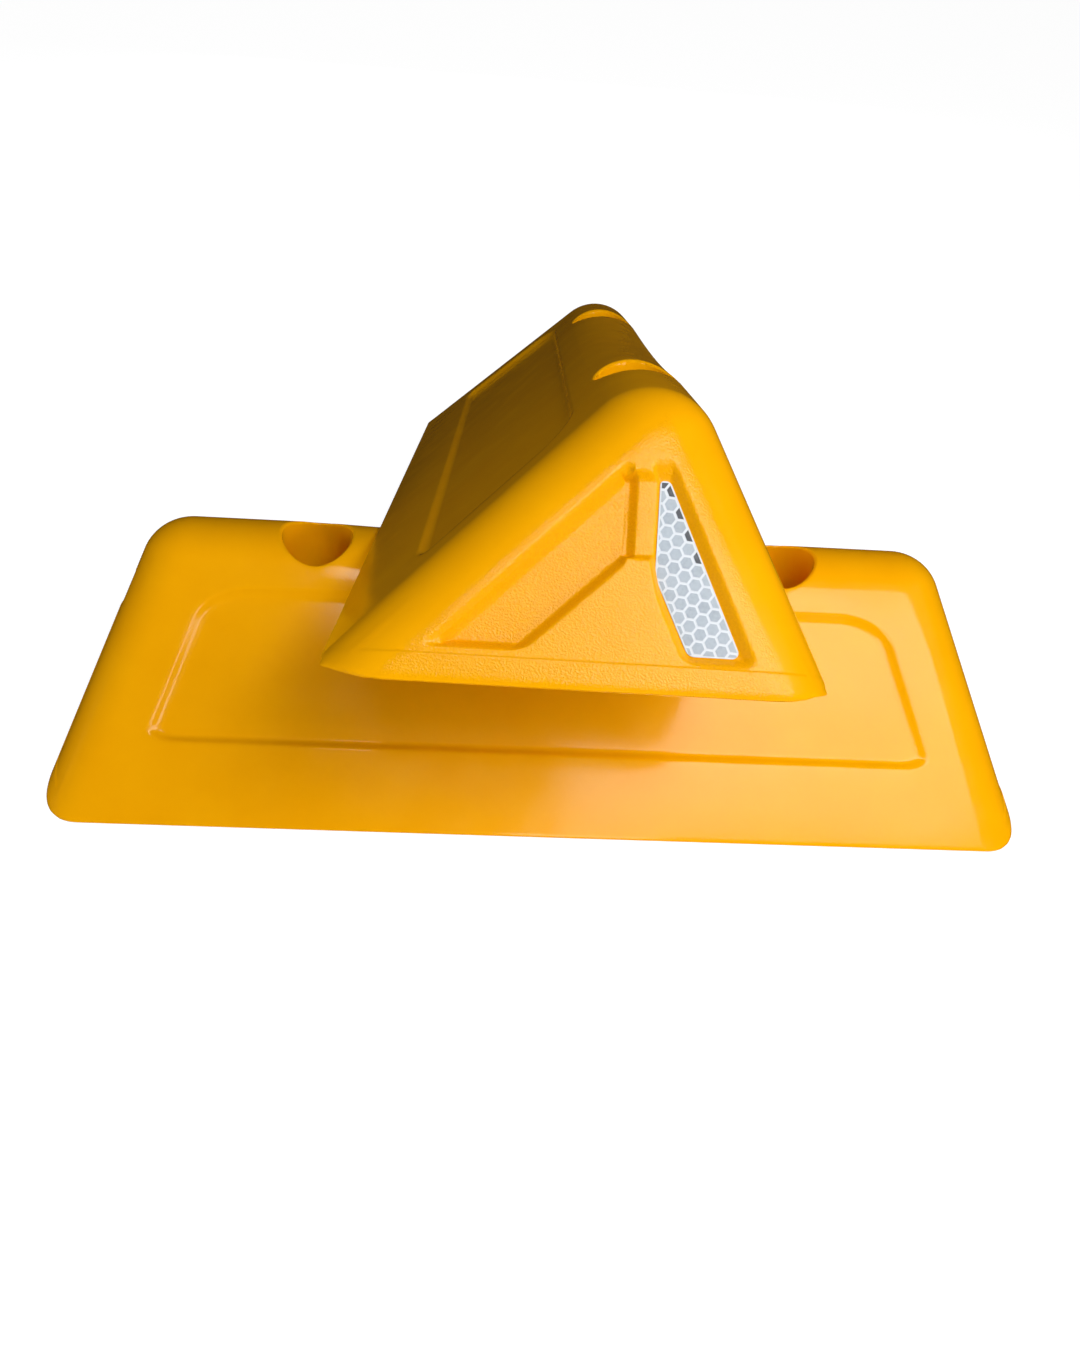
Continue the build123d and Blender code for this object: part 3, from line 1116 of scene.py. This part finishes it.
# %% Yellow plastic
PLASTIC_SPECULAR = 0.25
DEEP_YELLOW, LIGHT_YELLOW = (0.885, 0.376, 0.0007), (0.915, 0.402, 0.0011)
SPECK_YELLOW = (0.70, 0.26, 0.0006)
MOTTLE, GLOSS, UNEVEN, SAND = (34, 5), (70, 4), (650, 3), (1350, 2)
GLOSSY, SATIN, SANDY_ROUGHER = 0.08, 0.16, 0.04
SPECK_SHARE, UNEVEN_SHARE = 0.3, 0.11
GRAIN_STRENGTH, GRAIN_HEIGHT = 0.8, 0.0001


def yellow_plastic():
    material, nodes, links = new_material("yellow_moulded_plastic")
    shader = nodes["Principled BSDF"]
    shader.inputs["Specular IOR Level"].default_value = PLASTIC_SPECULAR
    here = nodes.new("ShaderNodeTexCoord").outputs["Object"]
    sandy_points = nodes.new("ShaderNodeAttribute")
    sandy_points.attribute_name = "sandy"
    sandy_share = sandy_points.outputs["Fac"]

    mottle = noise(nodes, links, here, MOTTLE, 0, 1)
    colour = mixed(nodes, links, mottle, DEEP_YELLOW, LIGHT_YELLOW)
    sand = noise(nodes, links, here, SAND, 0, 1)
    sand_height = calculated(nodes, links, "MULTIPLY", sand, sandy_share)
    specks = calculated(nodes, links, "MULTIPLY", sand_height, SPECK_SHARE)
    links.new(mixed(nodes, links, specks, colour, SPECK_YELLOW), shader.inputs["Base Color"])

    rough = noise(nodes, links, here, GLOSS, GLOSSY, SATIN)
    sanded = calculated(nodes, links, "MULTIPLY", sandy_share, SANDY_ROUGHER)
    links.new(calculated(nodes, links, "ADD", rough, sanded), shader.inputs["Roughness"])

    uneven = noise(nodes, links, here, UNEVEN, 0, 1)
    faint = calculated(nodes, links, "MULTIPLY", uneven, UNEVEN_SHARE)
    bump = nodes.new("ShaderNodeBump")
    bump.inputs["Strength"].default_value = GRAIN_STRENGTH
    bump.inputs["Distance"].default_value = GRAIN_HEIGHT
    links.new(calculated(nodes, links, "ADD", faint, sand_height), bump.inputs["Height"])
    links.new(bump.outputs["Normal"], shader.inputs["Normal"])
    return material


plastic = yellow_plastic()
for body in (lower_body, upper_body):
    body.data.materials.clear()
    body.data.materials.append(plastic)
print(plastic.name, "with", len(plastic.node_tree.nodes), "nodes")

# %% [markdown]
# The sheeting is silver-grey, and its cells are already faces with a tone. So its finish is a ramp from
# dark to light that turns tone into colour, with a little noise added, because the real film is worn. The
# ramp's darkest grey is painted reflection, on the cells that cutting has opened.

# %% Honeycomb sheeting
SHEET_SPECULAR = 0.25
# The opened grey is painted dark reflection; the cell and wall greys are the sheet's own.
OPENED_REFLECTION_GREY, CELL_GREY, WALL_GREY = (0.045, 0.05, 0.06), (0.345, 0.395, 0.45), (0.60, 0.64, 0.68)
WORN, WORN_SPREAD = (900, 3), 0.04
FILM, FILM_GLOSSY, FILM_DULL = (300, 2), 0.25, 0.4


def honeycomb_sheeting():
    material, nodes, links = new_material("honeycomb_sheeting")
    shader = nodes["Principled BSDF"]
    shader.inputs["Specular IOR Level"].default_value = SHEET_SPECULAR
    here = nodes.new("ShaderNodeTexCoord").outputs["Object"]
    tone = nodes.new("ShaderNodeAttribute")
    tone.attribute_name = "tone"
    ramp = nodes.new("ShaderNodeValToRGB")
    dark, light = ramp.color_ramp.elements
    # The ramp's dark end is the painted dark reflection.
    dark.color = (*OPENED_REFLECTION_GREY, 1)
    light.color = (*WALL_GREY, 1)
    ramp.color_ramp.elements.new(TONE_CELL).color = (*CELL_GREY, 1)
    worn = noise(nodes, links, here, WORN, -WORN_SPREAD, WORN_SPREAD)
    links.new(calculated(nodes, links, "ADD", tone.outputs["Fac"], worn), ramp.inputs["Fac"])
    links.new(ramp.outputs["Color"], shader.inputs["Base Color"])
    film = noise(nodes, links, here, FILM, FILM_GLOSSY, FILM_DULL)
    links.new(film, shader.inputs["Roughness"])
    return material


sheeting = honeycomb_sheeting()
for sheet in reflectors.values():
    sheet.data.materials.append(sheeting)
print(sheeting.name, "on", len(reflectors), "sheets")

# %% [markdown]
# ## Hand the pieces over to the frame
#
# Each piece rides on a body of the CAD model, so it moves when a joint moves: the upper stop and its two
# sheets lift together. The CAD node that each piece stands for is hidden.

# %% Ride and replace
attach(lower_body, "lower_stop")
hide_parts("lower_body")
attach(upper_body, "upper_stop")
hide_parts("upper_body")
for node, sheet in reflectors.items():
    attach(sheet, "lower_stop" if node.startswith("lower") else "upper_stop")
    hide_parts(node)
print("handed over two bodies and", len(reflectors), "sheets")

# %% [markdown]
# ## Floor, light and camera
#
# The photo has a white background and plastic that mirrors a darker room. So the floor and the sky glow
# white only where the camera looks straight at them, or through something clear, and reflections get a
# small share of that glow. The floor is also a matt grey, which the lamps light and the stops shade, but
# which isn't mirrored.


# %% Floor
FLOOR_SIZE = 20
FLOOR_GLOW = 0.97
FLOOR_GREY = 0.2
MIRRORED_GLOW = 0.005


def background_share(nodes, links):
    """How much of the white is seen along a ray, and whether the ray is a reflection."""
    path = nodes.new("ShaderNodeLightPath")
    reflection = path.outputs["Is Glossy Ray"]
    clear = path.outputs["Is Transmission Ray"]
    straight = calculated(nodes, links, "ADD", path.outputs["Is Camera Ray"], clear)
    mirrored = calculated(nodes, links, "MULTIPLY", reflection, MIRRORED_GLOW)
    return calculated(nodes, links, "ADD", straight, mirrored), reflection


def floor_finish():
    material, nodes, links = new_material("white_floor")
    nodes.remove(nodes["Principled BSDF"])
    share, reflection = background_share(nodes, links)
    glow = nodes.new("ShaderNodeEmission")
    links.new(calculated(nodes, links, "MULTIPLY", share, FLOOR_GLOW), glow.inputs["Strength"])
    grey = nodes.new("ShaderNodeMapRange")
    grey.inputs["To Min"].default_value = FLOOR_GREY
    grey.inputs["To Max"].default_value = 0
    links.new(reflection, grey.inputs["Value"])
    matt = nodes.new("ShaderNodeBsdfDiffuse")
    links.new(grey.outputs["Result"], matt.inputs["Color"])
    both = nodes.new("ShaderNodeAddShader")
    links.new(glow.outputs[0], both.inputs[0])
    links.new(matt.outputs[0], both.inputs[1])
    links.new(both.outputs[0], nodes["Material Output"].inputs["Surface"])
    return material


bm = bmesh.new()
bmesh.ops.create_grid(bm, x_segments=1, y_segments=1, size=FLOOR_SIZE)
floor = new_object("floor", bm)
floor.data.materials.append(floor_finish())
print("floor glows at", FLOOR_GLOW, "to the camera")

# %% [markdown]
# Seen from above, that white floor would shine up through the lower stop's bolt holes, where there is only
# shade. So a dark disc of painted shade lies at the bottom of each hole. It belongs to the stage, as the
# floor does.

# %% Painted shade in the bolt holes
HOLE_SHARE, HOLE_RISE = 0.99, 0.0003
# The discs' grey is painted shade at the bottom of the holes.
HOLE_SHADE_GREY = (0.03, 0.03, 0.03)

bm = bmesh.new()
for x in (-bolt_x, bolt_x):
    bmesh.ops.create_circle(
        bm, cap_ends=True, segments=WELL_SEGMENTS, radius=bolt_hole_radius * HOLE_SHARE,
        matrix=Matrix.Translation((x, 0, HOLE_RISE)),
    )
hole_shade_discs = new_object("painted_shade_in_the_bolt_holes", bm)
hole_shade_finish, nodes, links = new_material("hole_shade_finish")
nodes["Principled BSDF"].inputs["Base Color"].default_value = (*HOLE_SHADE_GREY, 1)
hole_shade_discs.data.materials.append(hole_shade_finish)
print("discs", len(hole_shade_discs.data.polygons))

# %% [markdown]
# The plastic mirrors a broad light above and to the right, with a soft left edge that crosses both stops.
# Soft boxes that face straight down give that sheen. A real lamp lights and is mirrored at once, but here
# only one soft box does both. Three only add to the sheen, where the photo has more of it, and the fill
# lights all round only light. That way the sheen and the shading could be matched one after the other.

# %% Lights
LIT_POINT = Vector((0, -0.02, 0.08))
FILL_DISTANCE, FILL_SIZE = 1.2, (0.7, 0.4)
LAMP_LEVEL = 0.6
DOWN = Vector((0, 0, -1))


def soft_box(name, place, aim, size, radiance, mirrored=True, lights=True):
    """A rectangular lamp, aimed along a direction. It may only light things, or only be mirrored."""
    lamp = bpy.data.lights.new(name, "AREA")
    lamp.shape = "RECTANGLE"
    lamp.size, lamp.size_y = size
    lamp.energy = radiance * pi * size[0] * size[1]
    obj = bpy.data.objects.new(name, lamp)
    obj.location = place
    obj.rotation_euler = aim.to_track_quat("-Z", "Y").to_euler()
    obj.visible_glossy = mirrored
    obj.visible_diffuse = lights
    bpy.context.scene.collection.objects.link(obj)
    print(name, "at", [round(part, 2) for part in obj.location])


def fill_light(name, bearing, height, radiance):
    """A light that isn't mirrored, at a bearing from +X and a height as the stops see it, in degrees."""
    flat = cos(radians(height))
    away = Vector((flat * cos(radians(bearing)), flat * sin(radians(bearing)), sin(radians(height))))
    soft_box(name, LIT_POINT + away * FILL_DISTANCE, -away, FILL_SIZE, radiance, mirrored=False)


soft_box("key_front", (0.3525, -0.565, LAMP_LEVEL), DOWN, size=(0.535, 0.21), radiance=5.1)
soft_box("key_back", (0.325, -0.38, LAMP_LEVEL), DOWN, size=(0.59, 0.16), radiance=6.6, lights=False)
soft_box("key_low", (0.13, -0.80, LAMP_LEVEL), DOWN, size=(0.2, 0.22), radiance=7.0, lights=False)
soft_box("key_corner", (-0.085, -0.328, LAMP_LEVEL), DOWN, size=(0.17, 0.07), radiance=11.0, lights=False)
fill_light("front_fill", bearing=-80, height=54, radiance=3.8)
fill_light("front_right_fill", bearing=-50, height=54, radiance=6.0)
fill_light("low_right_fill", bearing=-50, height=6, radiance=4.5)
fill_light("right_fill", bearing=-20, height=38, radiance=2.9)
fill_light("left_fill", bearing=-140, height=6, radiance=4.0)
fill_light("far_left_fill", bearing=-170, height=6, radiance=1.6)
fill_light("back_fill", bearing=90, height=8, radiance=2.0)

# %% [markdown]
# The sky is white to the camera too, and gives no light of its own.

# %% World
WHITE = (1, 1, 1, 1)

world = bpy.data.worlds.new("studio")
bpy.context.scene.world = world
world.use_nodes = True
sky = world.node_tree.nodes["Background"]
sky.inputs["Color"].default_value = WHITE
share, _ = background_share(world.node_tree.nodes, world.node_tree.links)
world.node_tree.links.new(share, sky.inputs["Strength"])
print("world", world.name)

# %% [markdown]
# The camera's place and lens were worked out from the outline of the stops in the photo. The photo seems
# cropped off its middle, so the lens is shifted: the point that it looks straight at isn't the middle of
# the picture. A new camera looks down, so it is first raised by a quarter turn to look along +Y, and then
# turned, tilted and rolled.

# %% Camera
PHOTO_WIDTH, PHOTO_HEIGHT = 1080, 1350
SENSOR_MM = 36
FOCAL_PX = 1041.9
CENTRE_PX = (523.62, 743.77)
CAMERA_AT = (-0.03984, -0.40526, 0.36315)
CAMERA_TURN, CAMERA_TILT, CAMERA_ROLL = radians(-1.38), radians(-45.4), radians(-3.06)
NEAREST_SEEN = 0.01

lens = bpy.data.cameras.new("camera")
lens.sensor_fit = "AUTO"
lens.sensor_width = SENSOR_MM
lens.lens = FOCAL_PX * SENSOR_MM / PHOTO_HEIGHT
lens.shift_x = (PHOTO_WIDTH / 2 - CENTRE_PX[0]) / PHOTO_HEIGHT
lens.shift_y = (CENTRE_PX[1] - PHOTO_HEIGHT / 2) / PHOTO_HEIGHT
lens.clip_start = NEAREST_SEEN
camera = bpy.data.objects.new("camera", lens)
roll_and_tilt = Matrix.Rotation(CAMERA_ROLL, 4, "Y") @ Matrix.Rotation(CAMERA_TILT, 4, "X")
turn = roll_and_tilt @ Matrix.Rotation(CAMERA_TURN, 4, "Z")
camera.matrix_world = Matrix.Translation(CAMERA_AT) @ turn @ Matrix.Rotation(QUARTER_TURN, 4, "X")
bpy.context.scene.collection.objects.link(camera)
bpy.context.scene.camera = camera
bpy.context.scene.view_settings.view_transform = "Standard"
print("lens", round(lens.lens, 2), "mm, shifted by", round(lens.shift_x, 3), "and", round(lens.shift_y, 3))
